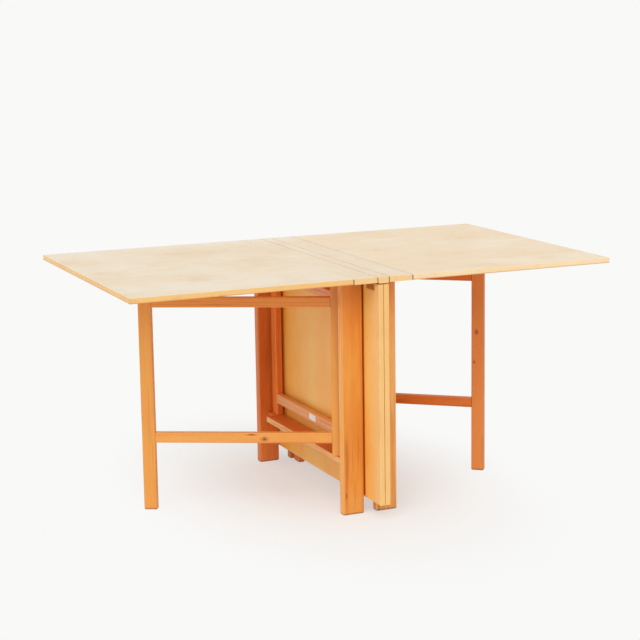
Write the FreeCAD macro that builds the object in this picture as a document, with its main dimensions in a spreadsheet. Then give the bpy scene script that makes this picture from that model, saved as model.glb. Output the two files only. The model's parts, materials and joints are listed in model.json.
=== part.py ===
import FreeCAD
import Part
import Sketcher
import math
import os
import re

# Butterfly folding table: two slim half tables that stand side by side on two posts each.
# Each half has a narrow top strip with an outer leaf (raised) and an inner leaf (hanging),
# and two swing gates, pinned between a lower and an upper board, that carry the raised leaves.
# Frame: origin on the floor under the middle, X along the table, Y across it, Z up.
# Each half looks the same after half a turn about its own upright middle line.

SIZES = [
    ("table_length", 1500, "over both raised outer leaves"),
    ("table_width", 900, "across the leaves"),
    ("table_height", 720, "floor to the top face"),
    ("top_thickness", 16, "leaves, strips and batten"),
    ("strip_width", 73, "fixed top strip of each half"),
    ("centre_gap", 37, "between the two top strips"),
    ("strip_rounding", 1, "top edges of strips and batten"),
    ("inner_leaf_floor_gap", 48.6, "tip of a hanging leaf to the floor"),
    ("lipping_width", 5, "solid edging glued round each leaf"),
    ("lipping_rounding", 1.5, "outer edges of the edging"),
    ("batten_side_gap", 1, "batten to each strip"),
    ("batten_rib_width", 28, "rib under the batten"),
    ("batten_end_drop", 2.4, "rib below the batten at its ends"),
    ("batten_rib_setback", 20, "deep part of the rib from each end"),
    ("batten_rest_gap", 0.3, "rib to the hanging leaves"),
    ("base_overhang", 103, "table's side beyond the posts' outer faces"),
    ("post_width", 68, "post along X"),
    ("post_depth", 28, "post along Y"),
    ("post_setback", 1, "post face behind the strip's inner edge"),
    ("post_rounding", 6, "upright edges of the posts"),
    ("foot_chamfer", 3, "edge of each post and leg on the floor"),
    ("board_width", 63, "lower and upper boards along X"),
    ("board_rounding", 1.5, "long edges of the boards"),
    ("lower_board_height", 168, "floor to the lower board's top face"),
    ("lower_board_thickness", 18, "lower board"),
    ("upper_board_thickness", 22, "upper board, under the strip"),
    ("board_tenon_length", 16, "board tenon into a post"),
    ("board_tenon_width", 26, "board tenon along X"),
    ("tenon_thickness", 9, "every tenon"),
    ("tenon_clearance", 0.1, "round every tenon"),
    ("gate_spacing", 36, "between the planes of a half's two gates"),
    ("gate_thickness", 22, "legs, stiles and rails of the gates"),
    ("leg_width", 40, "gate leg in the gate's plane"),
    ("stile_width", 40, "gate stile in the gate's plane"),
    ("gate_rounding", 3, "long edges of the gate's members"),
    ("gate_end_gap", 18, "folded leg to the post beyond it"),
    ("pivot_inset", 34, "gate pivot to the nearer post's face"),
    ("notch_clearance", 1.2, "folded leg to the boards' notches"),
    ("lower_rail_rise", 38, "lower rail above the lower board"),
    ("lower_rail_height", 31, "lower rail"),
    ("top_rail_drop", 60, "top rail below the leaf"),
    ("top_rail_height", 30, "top rail"),
    ("rail_tenon_length", 20, "rail tenon into leg and stile"),
    ("rail_shoulder", 5, "rail above and below its tenon"),
    ("leaf_rest_gap", 0.3, "leg top to the leaf's underside"),
    ("stile_end_gap", 0.4, "stile to the boards"),
    ("gate_pin_diameter", 10, "pivot pins of the gates"),
    ("gate_pin_in_board", 12, "pivot pin inside a board"),
    ("gate_pin_in_stile", 25, "pivot pin inside a stile"),
    ("pin_clearance", 0.05, "round every pivot and hinge pin"),
    ("pin_end_gap", 0.5, "beyond the ends of the pivot pins"),
    ("left_gate_angle", 62.4, "left outer gate, degrees from folded"),
    ("right_gate_angle", 50.5, "right outer gate, degrees from folded"),
    ("pad_length", 45, "pad along the inner gate's lower rail"),
    ("pad_height", 19, "pad up the rail's face"),
    ("pad_thickness", 3, "pad off the rail's face"),
    ("pad_drop", 3.5, "pad below the rail's top"),
    ("pad_from_leg", 249.5, "pad's middle to the leg's middle"),
    ("pad_rounding", 1, "edges of the pad's free face"),
    ("hinge_length", 50, "along the barrel"),
    ("hinge_gap", 2, "strip to raised leaf"),
    ("axis_inset", 1, "hinge pin behind the strip's edge"),
    ("barrel_diameter", 5, "hinge knuckles"),
    ("barrel_clearance", 0.3, "hinge knuckles to the wood"),
    ("hinge_pin_diameter", 2.4, "hinge pins"),
    ("plate_thickness", 1.6, "hinge plates"),
    ("plate_width", 20, "hinge plates away from the barrel"),
    ("knuckle_gap", 0.3, "between neighbouring knuckles"),
    ("screw_hole_diameter", 3.2, "hinge screw holes where they meet the wood"),
    ("countersink_diameter", 6.4, "hinge screw holes on the free face"),
    ("screw_end_inset", 8, "outer screw holes to the plate's ends"),
]
KNUCKLES = 5

doc = FreeCAD.newDocument("folding_table")
sheet = doc.addObject("Spreadsheet::Sheet", "sizes")
for row, (alias, value, note) in enumerate(SIZES, start=1):
    sheet.set(f"A{row}", note)
    sheet.set(f"B{row}", str(value))
    sheet.setAlias(f"B{row}", alias)
doc.recompute()
ALIASES = [alias for alias, value, note in SIZES]

# Levels and places that several pieces share, as expressions of the sheet's sizes.
UNDERSIDE = "(table_height - top_thickness)"
UPPER_BASE = f"({UNDERSIDE} - upper_board_thickness)"
LOWER_BASE = "(lower_board_height - lower_board_thickness)"
STRIP_INNER = "(centre_gap / 2)"
STRIP_OUTER = f"({STRIP_INNER} + strip_width)"
HALF_CENTRE = f"({STRIP_INNER} + post_setback + post_width / 2)"
POST_ROW = "(table_width / 2 - base_overhang - post_depth / 2)"
POST_FACE = "(table_width / 2 - base_overhang - post_depth)"

# The hinge pins lie just under the wood, a little behind the strips' edges.
PIN_DROP = "(barrel_diameter / 2 + barrel_clearance)"
AXIS_HEIGHT = f"({UNDERSIDE} - {PIN_DROP})"
OUTER_AXIS = f"({STRIP_OUTER} - axis_inset)"
INNER_AXIS = f"({STRIP_INNER} + axis_inset)"
EDGE_REACH = "(hinge_gap + axis_inset)"
OUTER_LEAF_LENGTH = f"(table_length / 2 - {STRIP_OUTER} - hinge_gap)"
INNER_LEAF_LENGTH = f"({AXIS_HEIGHT} - {EDGE_REACH} - inner_leaf_floor_gap)"
HINGE_ROW = "(table_width / 2 - base_overhang / 2)"

# Gates fold side by side between the posts, so the boards are notched where a leg folds in.
PIVOT_ROW = f"({POST_FACE} - pivot_inset)"
LEG_REACH = f"({POST_FACE} + {PIVOT_ROW} - gate_end_gap - leg_width / 2)"
NOTCH_SIDE = "(gate_spacing / 2 - gate_thickness / 2 - notch_clearance)"
NOTCH_END = f"({POST_FACE} - gate_end_gap - leg_width - notch_clearance)"
BOARD_END_CENTRE = f"((board_width / 2 - {NOTCH_SIDE}) / 2)"
LOWER_RAIL_BASE = "(lower_board_height + lower_rail_rise)"
RAILS = [
    ("lower_rail", LOWER_RAIL_BASE, "lower_rail_height"),
    ("top_rail", f"({UNDERSIDE} - top_rail_drop - top_rail_height)", "top_rail_height"),
]


def cells(text):
    """The expression with the sheet's name put before each of its aliases."""
    return re.sub(r"[a-z_]+", lambda found: f"{'sizes.' * (found[0] in ALIASES)}{found[0]}", text)


def bind(thing, **expressions):
    """Binds each named property to an expression of the sheet's sizes."""
    for name, text in expressions.items():
        thing.setExpression(name, cells(text))


def place(thing, x="0", y="0", z="0", turn="0", tilt="0", roll="0"):
    """Places a thing: roll about X, then tilt about Y, then turn about Z, then a move."""
    bind(thing, Placement=f"placement(vector({x}; {y}; {z}); rotation({turn}; {tilt}; {roll}))")


def prism(name, outline, base, height):
    """A body padded upwards by height from a closed outline of (x, y) points at level base."""
    body = doc.addObject("PartDesign::Body", name)
    sketch = body.newObject("Sketcher::SketchObject", f"{name}_outline")
    ground = next(plane for plane in body.Origin.OriginFeatures if plane.Role == "XY_Plane")
    sketch.AttachmentSupport = [(ground, "")]
    sketch.MapMode = "FlatFace"
    sketch.setExpression("AttachmentOffset.Base.z", cells(base))
    count = len(outline)
    unit = [
        FreeCAD.Vector(math.cos(2 * math.pi * k / count), math.sin(2 * math.pi * k / count), 0)
        for k in range(count)
    ]
    for k in range(count):
        sketch.addGeometry(Part.LineSegment(unit[k], unit[(k + 1) % count]))
    for k in range(count):
        sketch.addConstraint(Sketcher.Constraint("Coincident", k, 2, (k + 1) % count, 1))
    for k, (x, y) in enumerate(outline):
        for kind, text in (("DistanceX", x), ("DistanceY", y)):
            index = sketch.addConstraint(Sketcher.Constraint(kind, -1, 1, k, 1, 1.0))
            sketch.setExpression(f"Constraints[{index}]", cells(text))
    pad = body.newObject("PartDesign::Pad", f"{name}_pad")
    pad.Profile = sketch
    bind(pad, Length=height)
    doc.recompute()
    return body


def bar(name, x, y, z):
    """A straight piece between the (low, high) levels given along each axis."""
    outline = [(x[0], y[0]), (x[1], y[0]), (x[1], y[1]), (x[0], y[1])]
    return prism(name, outline, z[0], f"{z[1]} - ({z[0]})")


def edges_along(body, axis, at=None):
    """Names of the straight edges along an axis, or of those that lie furthest that way."""
    shape = body.Tip.Shape
    found = [
        (f"Edge{k}", edge.CenterOfMass)
        for k, edge in enumerate(shape.Edges, start=1)
        if abs(edge.tangentAt(edge.FirstParameter).dot(axis)) > math.cos(math.radians(1))
    ]
    if at is not None:
        least = max(middle.dot(at) for name, middle in found) - Part.Precision.confusion()
        found = [(name, middle) for name, middle in found if middle.dot(at) > least]
    return [name for name, middle in found]


def face_towards(body, direction):
    """Name of the flat face that lies furthest along a direction and faces it."""
    faces = [
        (face.CenterOfMass.dot(direction), f"Face{k}")
        for k, face in enumerate(body.Tip.Shape.Faces, start=1)
        if face.normalAt(0, 0).dot(direction) > math.cos(math.radians(1))
    ]
    return max(faces)[1]


def rounded(body, names, radius):
    """Rounds the named edges, or the edges of a named face, of the body's last feature."""
    fillet = body.newObject("PartDesign::Fillet", f"{body.Name}_rounding")
    fillet.Base = (body.Group[-2], names)
    bind(fillet, Radius=radius)
    doc.recompute()
    return body


def foot_chamfered(body):
    """Takes the sharp edge off the end that stands on the floor."""
    sole = face_towards(body, DOWN)
    chamfer = body.newObject("PartDesign::Chamfer", f"{body.Name}_foot")
    chamfer.Base = (body.Group[-2], [sole])
    bind(chamfer, Size="foot_chamfer")
    doc.recompute()
    return body


def block(body, kind, name, x, y, z):
    """Adds or cuts a block between the (low, high) levels given along each axis."""
    box = body.newObject(f"PartDesign::{kind}Box", f"{body.Name}_{name}")
    bind(box, Length=f"{x[1]} - ({x[0]})", Width=f"{y[1]} - ({y[0]})", Height=f"{z[1]} - ({z[0]})")
    place(box, x[0], y[0], z[0])


def grown(low, high, gap):
    """The (low, high) levels, moved apart by a gap at both ends."""
    return f"{low} - {gap}", f"{high} + {gap}"


def group(name, pieces):
    """One sub-part of several separate solids."""
    compound = doc.addObject("Part::Compound", name)
    compound.Links = pieces
    return compound


X_AXIS = FreeCAD.Vector(1, 0, 0)
Y_AXIS = FreeCAD.Vector(0, 1, 0)
UP = FreeCAD.Vector(0, 0, 1)
DOWN = FreeCAD.Vector(0, 0, -1)
parts = []


def keep(piece):
    """Lists a finished sub-part, whose label names its file."""
    piece.Label = piece.Name
    parts.append(piece)
    return piece


def centred(width):
    """(low, high) levels of a width set evenly about zero."""
    return f"-({width}) / 2", f"({width}) / 2"


def post(name, y, turn, x):
    """A flat upright with rounded edges, mortised on its inner face for both boards."""
    body = bar(name, centred("post_width"), centred("post_depth"), ("0", UNDERSIDE))
    rounded(body, edges_along(body, UP), "post_rounding")
    foot_chamfered(body)
    across = grown(
        f"-{BOARD_END_CENTRE} - board_tenon_width / 2",
        f"-{BOARD_END_CENTRE} + board_tenon_width / 2",
        "tenon_clearance",
    )
    depth = ("post_depth / 2 - board_tenon_length - tenon_clearance", "post_depth / 2")
    for board, base, thickness in BOARDS:
        middle = f"{base} + {thickness} / 2"
        tenon_levels = (f"{middle} - tenon_thickness / 2", f"{middle} + tenon_thickness / 2")
        levels = grown(*tenon_levels, "tenon_clearance")
        block(body, "Subtractive", f"{board}_mortise", across, depth, levels)
    place(body, x, y, turn=turn)
    return keep(body)


BOARDS = [
    ("lower_board", LOWER_BASE, "lower_board_thickness"),
    ("upper_board", UPPER_BASE, "upper_board_thickness"),
]


def board(name, base, thickness, bore_levels, x, turn):
    """A flat board between the posts, notched at two corners where the gate legs fold in."""
    half = "board_width / 2"
    outline = [
        (f"-{half}", f"-{POST_FACE}"),
        (NOTCH_SIDE, f"-{POST_FACE}"),
        (NOTCH_SIDE, f"-{NOTCH_END}"),
        (half, f"-{NOTCH_END}"),
        (half, POST_FACE),
        (f"-{NOTCH_SIDE}", POST_FACE),
        (f"-{NOTCH_SIDE}", NOTCH_END),
        (f"-{half}", NOTCH_END),
    ]
    body = prism(name, outline, "0", thickness)
    outer_edges = edges_along(body, Y_AXIS, X_AXIS) + edges_along(body, Y_AXIS, -X_AXIS)
    rounded(body, outer_edges, "board_rounding")
    levels = (f"{thickness} / 2 - tenon_thickness / 2", f"{thickness} / 2 + tenon_thickness / 2")
    for end, side, reach in (
        ("near", f"-{BOARD_END_CENTRE}", (f"-{POST_FACE} - board_tenon_length", f"-{POST_FACE}")),
        ("far", BOARD_END_CENTRE, (POST_FACE, f"{POST_FACE} + board_tenon_length")),
    ):
        across = (f"{side} - board_tenon_width / 2", f"{side} + board_tenon_width / 2")
        block(body, "Additive", f"{end}_tenon", across, reach, levels)
    for end, sign in (("near", "-"), ("far", "")):
        bore = body.newObject("PartDesign::SubtractiveCylinder", f"{name}_{end}_bore")
        bind(bore, Radius="gate_pin_diameter / 2 + pin_clearance")
        bind(bore, Height=f"{bore_levels[1]} - ({bore_levels[0]})")
        place(bore, f"{sign}gate_spacing / 2", f"{sign}{PIVOT_ROW}", bore_levels[0])
    place(body, x, z=base, turn=turn)
    return keep(body)


def rail_mortises(body, reach):
    """Cuts the two rail mortises of a gate's leg or stile, between the given levels along Y."""
    across = grown(*centred("tenon_thickness"), "tenon_clearance")
    for rail, base, height in RAILS:
        levels = grown(f"{base} + rail_shoulder", f"{base} + {height} - rail_shoulder", "tenon_clearance")
        block(body, "Subtractive", f"{rail}_mortise", across, reach, levels)


def gate(name, x, y, turn):
    """A swing gate: a stile on two pivot pins, two rails, and a leg that reaches the floor."""
    thickness = centred("gate_thickness")
    leg_near = f"{LEG_REACH} - leg_width / 2"
    leg_top = f"{UNDERSIDE} - leaf_rest_gap"
    leg = bar(f"{name}_leg", thickness, (leg_near, f"{LEG_REACH} + leg_width / 2"), ("0", leg_top))
    rounded(leg, edges_along(leg, UP), "gate_rounding")
    foot_chamfered(leg)
    rail_mortises(leg, (leg_near, f"{leg_near} + rail_tenon_length + tenon_clearance"))

    stile_levels = ("lower_board_height + stile_end_gap", f"{UPPER_BASE} - stile_end_gap")
    stile = bar(f"{name}_stile", thickness, centred("stile_width"), stile_levels)
    rounded(stile, edges_along(stile, UP), "gate_rounding")
    rail_mortises(stile, ("stile_width / 2 - rail_tenon_length - tenon_clearance", "stile_width / 2"))
    pin_depth = "gate_pin_in_stile + pin_end_gap"
    for end, base in (
        ("foot", "lower_board_height + stile_end_gap"),
        ("head", f"{UPPER_BASE} - stile_end_gap - ({pin_depth})"),
    ):
        bore = stile.newObject("PartDesign::SubtractiveCylinder", f"{stile.Name}_{end}_bore")
        bind(bore, Radius="gate_pin_diameter / 2 + pin_clearance", Height=pin_depth)
        place(bore, z=base)

    rails = []
    for rail, base, height in RAILS:
        levels = (base, f"{base} + {height}")
        body = bar(f"{name}_{rail}", thickness, ("stile_width / 2", leg_near), levels)
        rounded(body, edges_along(body, Y_AXIS), "gate_rounding")
        tenon_levels = (f"{base} + rail_shoulder", f"{base} + {height} - rail_shoulder")
        for end, reach in (
            ("stile", ("stile_width / 2 - rail_tenon_length", "stile_width / 2")),
            ("leg", (leg_near, f"{leg_near} + rail_tenon_length")),
        ):
            block(body, "Additive", f"{end}_tenon", centred("tenon_thickness"), reach, tenon_levels)
        rails.append(body)

    pins = []
    pin_length = "gate_pin_in_board + stile_end_gap + gate_pin_in_stile"
    for end, base in (
        ("foot", "lower_board_height - gate_pin_in_board"),
        ("head", f"{UPPER_BASE} - stile_end_gap - gate_pin_in_stile"),
    ):
        pin = doc.addObject("Part::Cylinder", f"{name}_{end}_pin")
        bind(pin, Radius="gate_pin_diameter / 2", Height=pin_length)
        place(pin, z=base)
        pins.append(pin)
    for piece in (leg, stile, *rails, group(f"{name}_pins", pins)):
        place(piece, x, y, turn=turn)
        keep(piece)


def rail_pad(name, x, y, turn):
    """A thin plain pad on the face of an inner gate's lower rail, towards the outer gate."""
    depth = ("gate_thickness / 2", "gate_thickness / 2 + pad_thickness")
    middle = f"{LEG_REACH} - pad_from_leg"
    along = (f"{middle} - pad_length / 2", f"{middle} + pad_length / 2")
    top = f"{LOWER_RAIL_BASE} + lower_rail_height - pad_drop"
    body = bar(name, depth, along, (f"{top} - pad_height", top))
    rounded(body, [face_towards(body, X_AXIS)], "pad_rounding")
    place(body, x, y, turn=turn)
    return keep(body)


def top_strip(name, x):
    """The narrow fixed top of a half, which its posts carry and its two leaves are hinged to."""
    body = bar(name, centred("strip_width"), centred("table_width"), (UNDERSIDE, "table_height"))
    rounded(body, [face_towards(body, UP)], "strip_rounding")
    place(body, x)
    return keep(body)


def leaf(name, length, x, turn, tilt):
    """A leaf and its edging, in a frame with the hinge pin at the origin along Y."""
    ends = (EDGE_REACH, f"{EDGE_REACH} + {length}")
    sides = centred("table_width")
    levels = (PIN_DROP, f"{PIN_DROP} + top_thickness")
    inner_ends = (f"{ends[0]} + lipping_width", f"{ends[1]} - lipping_width")
    inner_sides = (f"{sides[0]} + lipping_width", f"{sides[1]} - lipping_width")
    panel = bar(name, inner_ends, inner_sides, levels)

    near = bar(f"{name}_near_lipping", ends, (sides[0], inner_sides[0]), levels)
    rounded(near, edges_along(near, X_AXIS, -Y_AXIS), "lipping_rounding")
    far = bar(f"{name}_far_lipping", ends, (inner_sides[1], sides[1]), levels)
    rounded(far, edges_along(far, X_AXIS, Y_AXIS), "lipping_rounding")
    tip = bar(f"{name}_tip_lipping", (inner_ends[1], ends[1]), inner_sides, levels)
    rounded(tip, edges_along(tip, Y_AXIS, X_AXIS), "lipping_rounding")
    root = bar(f"{name}_root_lipping", (ends[0], inner_ends[0]), inner_sides, levels)

    for piece in (panel, group(f"{name}_lipping", [near, far, tip, root])):
        place(piece, x, z=AXIS_HEIGHT, turn=turn, tilt=tilt)
        keep(piece)


def along_y(name, radius, start, length):
    """A round bar along Y on the hinge axis."""
    cylinder = doc.addObject("Part::Cylinder", name)
    bind(cylinder, Radius=radius, Height=length)
    place(cylinder, y=start, roll="-90")
    return cylinder


def plain_block(name, x, y, z):
    """A block between the (low, high) levels given along each axis."""
    box = doc.addObject("Part::Box", name)
    bind(box, Length=f"{x[1]} - ({x[0]})", Width=f"{y[1]} - ({y[0]})", Height=f"{z[1]} - ({z[0]})")
    place(box, x[0], y[0], z[0])
    return box


def hinge_plate(name, middle, on_leaf):
    """One half of a butt hinge: a plate with three screw holes, and its share of the knuckles."""
    start = "barrel_diameter / 2 + 2 * knuckle_gap"
    plate_levels = (f"{PIN_DROP} - plate_thickness", PIN_DROP)
    tongue_levels = (plate_levels[0], "barrel_diameter / 2 - barrel_clearance")
    plate_span = (start, f"{start} + plate_width")
    tongue_span = ("0", f"{start} + knuckle_gap")
    if not on_leaf:
        plate_span = (f"-({plate_span[1]})", f"-({plate_span[0]})")
        tongue_span = (f"-({tongue_span[1]})", "0")
    low = f"{middle} - hinge_length / 2"
    pieces = [plain_block(f"{name}_flap", plate_span, (low, f"{low} + hinge_length"), plate_levels)]
    pitch = f"hinge_length / {KNUCKLES}"
    for k in range(1 if on_leaf else 0, KNUCKLES, 2):
        first = f"{low} + {k} * {pitch} + knuckle_gap / 2"
        length = f"{pitch} - knuckle_gap"
        pieces.append(along_y(f"{name}_knuckle_{k}", "barrel_diameter / 2", first, length))
        span = (first, f"{first} + {length}")
        pieces.append(plain_block(f"{name}_tongue_{k}", tongue_span, span, tongue_levels))
    joined = doc.addObject("Part::MultiFuse", f"{name}_joined")
    joined.Shapes = pieces

    holes = [along_y(f"{name}_bore", "hinge_pin_diameter / 2 + pin_clearance", low, "hinge_length")]
    reach = "(hinge_length / 2 - screw_end_inset)"
    for spot, y in (("low", f"{middle} - {reach}"), ("mid", middle), ("high", f"{middle} + {reach}")):
        hole = doc.addObject("Part::Cone", f"{name}_{spot}_hole")
        bind(hole, Radius1="countersink_diameter / 2", Radius2="screw_hole_diameter / 2")
        bind(hole, Height="plate_thickness")
        place(hole, f"({plate_span[0]} + {plate_span[1]}) / 2", y, plate_levels[0])
        holes.append(hole)
    plate = doc.addObject("Part::Cut", name)
    plate.Base = joined
    plate.Tool = group(f"{name}_holes", holes)
    return plate


def hinges(name, x, turn, tilt):
    """The two butt hinges of a leaf, as strip plates, pins and plates that turn with the leaf."""
    rows = (("near", f"-{HINGE_ROW}"), ("far", HINGE_ROW))
    strip_plates = [hinge_plate(f"{name}_{end}_strip_plate", row, False) for end, row in rows]
    leaf_plates = [hinge_plate(f"{name}_{end}_leaf_plate", row, True) for end, row in rows]
    pins = [
        along_y(f"{name}_{end}_pin", "hinge_pin_diameter / 2", f"{row} - hinge_length / 2", "hinge_length")
        for end, row in rows
    ]
    for suffix, pieces, lean in (
        ("strip_plates", strip_plates, "0"),
        ("pins", pins, "0"),
        ("leaf_plates", leaf_plates, tilt),
    ):
        piece = group(f"{name}_{suffix}", pieces)
        place(piece, x, z=AXIS_HEIGHT, turn=turn, tilt=lean)
        keep(piece)


def centre_batten(name):
    """The loose batten that closes the gap above the hanging leaves and rests on their edges."""
    half = f"{STRIP_INNER} - batten_side_gap"
    body = bar(name, (f"-({half})", half), centred("table_width"), (UNDERSIDE, "table_height"))
    rounded(body, [face_towards(body, UP)], "strip_rounding")
    shallow = f"{UNDERSIDE} - batten_end_drop"
    deep = f"{AXIS_HEIGHT} - {EDGE_REACH} + batten_rest_gap"
    across = centred("batten_rib_width")
    along = centred("table_width - 2 * batten_rib_setback")
    block(body, "Additive", "rib", across, centred("table_width"), (shallow, UNDERSIDE))
    block(body, "Additive", "deep_rib", across, along, (deep, shallow))
    return keep(body)


# The two halves: side is -1 on the left and 1 on the right, where everything is turned round.
for half_name, side, half_turn, open_angle in (
    ("left", "-1", "0", "left_gate_angle"),
    ("right", "1", "180", "right_gate_angle"),
):
    centre = f"{side} * {HALF_CENTRE}"
    post(f"{half_name}_near_post", f"-{POST_ROW}", "0", centre)
    post(f"{half_name}_far_post", POST_ROW, "180", centre)
    lower_bore = ("lower_board_thickness - gate_pin_in_board - pin_end_gap", "lower_board_thickness")
    upper_bore = ("0", "gate_pin_in_board + pin_end_gap")
    for (board_name, base, thickness), bore_levels in zip(BOARDS, (lower_bore, upper_bore)):
        board(f"{half_name}_{board_name}", base, thickness, bore_levels, centre, half_turn)
    top_strip(f"{half_name}_top_strip", f"{side} * ({STRIP_INNER} + strip_width / 2)")

    outer_x = f"{side} * ({HALF_CENTRE} + gate_spacing / 2)"
    inner_x = f"{side} * ({HALF_CENTRE} - gate_spacing / 2)"
    outer_row = f"{side} * {PIVOT_ROW}"
    inner_row = f"-1 * {side} * {PIVOT_ROW}"
    gate(f"{half_name}_outer_gate", outer_x, outer_row, f"{half_turn} + {open_angle}")
    gate(f"{half_name}_inner_gate", inner_x, inner_row, f"{half_turn} + 180")
    rail_pad(f"{half_name}_rail_pad", inner_x, inner_row, f"{half_turn} + 180")

    outer_axis = f"{side} * {OUTER_AXIS}"
    inner_axis = f"{side} * {INNER_AXIS}"
    leaf(f"{half_name}_leaf", OUTER_LEAF_LENGTH, outer_axis, f"{half_turn} + 180", "0")
    hinges(f"{half_name}_leaf_hinge", outer_axis, f"{half_turn} + 180", "0")
    leaf(f"{half_name}_inner_leaf", INNER_LEAF_LENGTH, inner_axis, half_turn, "90")
    hinges(f"{half_name}_inner_leaf_hinge", inner_axis, half_turn, "90")
centre_batten("centre_batten")

doc.recompute()
for thing in doc.Objects:
    if "Invalid" in thing.State or "Error" in thing.State:
        raise RuntimeError(f"{thing.Name} failed: {thing.State}")
for part in parts:
    if part.Shape.isNull() or not part.Shape.isValid():
        raise RuntimeError(f"{part.Label} has no valid shape")

os.makedirs("parts", exist_ok=True)
for part in parts:
    part.Shape.exportStep(f"parts/{part.Label}.step")
print(len(parts), "sub-parts,", sum(len(part.Shape.Solids) for part in parts), "solids")
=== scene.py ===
import json
import math

import bpy
from mathutils import Matrix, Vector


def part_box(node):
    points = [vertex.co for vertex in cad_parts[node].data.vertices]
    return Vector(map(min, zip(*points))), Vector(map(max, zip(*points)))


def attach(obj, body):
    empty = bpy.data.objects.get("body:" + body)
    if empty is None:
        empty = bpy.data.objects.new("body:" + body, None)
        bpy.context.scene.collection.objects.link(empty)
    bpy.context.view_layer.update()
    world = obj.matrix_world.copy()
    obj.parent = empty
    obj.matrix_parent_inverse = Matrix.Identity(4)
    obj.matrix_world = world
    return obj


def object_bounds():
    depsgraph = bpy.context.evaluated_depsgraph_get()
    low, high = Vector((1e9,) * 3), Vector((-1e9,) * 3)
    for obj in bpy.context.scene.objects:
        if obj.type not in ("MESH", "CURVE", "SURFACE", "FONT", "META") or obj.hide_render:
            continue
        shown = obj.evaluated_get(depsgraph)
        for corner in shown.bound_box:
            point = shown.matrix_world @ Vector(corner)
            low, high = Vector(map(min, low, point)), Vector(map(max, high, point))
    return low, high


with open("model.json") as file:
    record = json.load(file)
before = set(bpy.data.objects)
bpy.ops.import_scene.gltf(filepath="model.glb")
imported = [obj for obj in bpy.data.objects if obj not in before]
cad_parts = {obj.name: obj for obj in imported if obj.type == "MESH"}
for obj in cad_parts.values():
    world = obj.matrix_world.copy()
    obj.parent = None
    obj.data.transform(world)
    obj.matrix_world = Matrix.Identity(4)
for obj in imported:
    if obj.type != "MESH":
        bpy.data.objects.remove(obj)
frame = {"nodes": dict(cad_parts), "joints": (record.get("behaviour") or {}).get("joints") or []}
cad_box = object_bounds()
nodes = frame["nodes"]
scene = bpy.context.scene

# Posts: four flat uprights with rounded edges, two to each half, that carry the top strips.
# Solid pine that has aged to orange under satin lacquer, planed and rounded over,
# mortised for the two boards and glued.


def linear(code):
    """Linear colour of an sRGB hex code."""
    steps = [int(code[k:k + 2], 16) / 255 for k in (0, 2, 4)]
    return [c / 12.92 if c <= 0.04045 else ((c + 0.055) / 1.055) ** 2.4 for c in steps] + [1.0]


def link(tree, source, socket):
    """Links a socket to an output; a node stands for the first of its outputs that is in use."""
    if isinstance(source, bpy.types.Node):
        source = next(output for output in source.outputs if output.enabled)
    tree.links.new(source, socket)


def add(tree, kind, settings=None, links=None):
    """Adds a node, gives it its settings or socket values, and links its sockets."""
    made = tree.nodes.new(kind)
    for name, value in (settings or {}).items():
        if isinstance(name, str) and hasattr(made, name):
            setattr(made, name, value)
        else:
            made.inputs[name].default_value = value
    for name, source in (links or {}).items():
        link(tree, source, made.inputs[name])
    return made


def start_material(name):
    """A new material with its node tree and its shader."""
    material = bpy.data.materials.new(name)
    material.use_nodes = True
    return material, material.node_tree, material.node_tree.nodes["Principled BSDF"]


def finish_nodes(names, material):
    """Gives pieces of the frame a material."""
    for name in names:
        nodes[name].data.materials.clear()
        nodes[name].data.materials.append(material)


HONEY_PINE = ("EBA042", "DE8B32", "F3AD52")  # early wood, pale and deep, and its edges, paler partly from rubbing and partly as a painted highlight
PALE_PINE = ("FFBF69", "F9AD56", "FFCA84")
# drawn redder as painted shade, for members that stand in the shade under the table
PAINTED_SHADE_PINE = ("EA8334", "DE6F25", "EE9D4E")
PINE_LATE = "CE6A22"
LATE_SHARE = 0.36
FIBRE_SHARE = 0.22
FIBRE_SPAN = (0.45, 0.75)  # a span holds the values of a noise between which its mark comes in
RING_GAP = 0.008  # growth rings of slow pine are 2 to 4 mm apart; drawn wider so that they show
RING_WAVES = 14.0  # to the metre across the grain: a ring wavers about every 70 mm
RING_SWERVE = 0.05  # how far it wavers from side to side at most
LATE_RISE = (0.3, 0.95)  # shares of a ring's width over which its wood darkens
LATE_END = (1.0, 0.9)  # and over which it turns pale again
FIBRE_GAP = 0.0016  # fibres are finer than this; drawn coarser so that they show close up
GRAIN_STRETCH = 0.045  # how slowly the figure changes along the grain, against across it
PINE_CLOUDS = 16.0  # to the metre across the grain: deeper patches about 60 mm wide
CLOUD_STRETCH = 0.25  # the patches are four times as long as wide
CLOUD_SPAN = (0.32, 0.68)
PINE_RESIN = "B4551A"
RESIN_SHARE = 0.5
RESIN_SPAN = (0.6, 0.76)
RESIN_GAP = 0.012  # resin streaks are 1 to 3 mm wide and a finger's breadth apart
EDGE_RUB_AND_HIGHLIGHT_SHARE = 0.55
CORNER_SPAN = (0.15, 0.5)  # a face looks both ways across the grain by 0.5 at the round of an edge
PINE_HALO = "B8591E"
PINE_KNOT = "74310F"
KNOT_RAGGED = 0.006  # size of the tears round a knot
KNOT_TEAR = 1.6  # how far they reach; this and the next three are in knot radii
KNOT_BEND = 2.4  # how far the rings are pushed aside
BEND_REACH = (3.2, 0.6)  # where the push begins and where it is whole
KNOT_TONES = ((PINE_HALO, 2.4, 0.8, 0.6), (PINE_KNOT, 1.2, 0.3, 0.85))  # from, whole at, share
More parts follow.
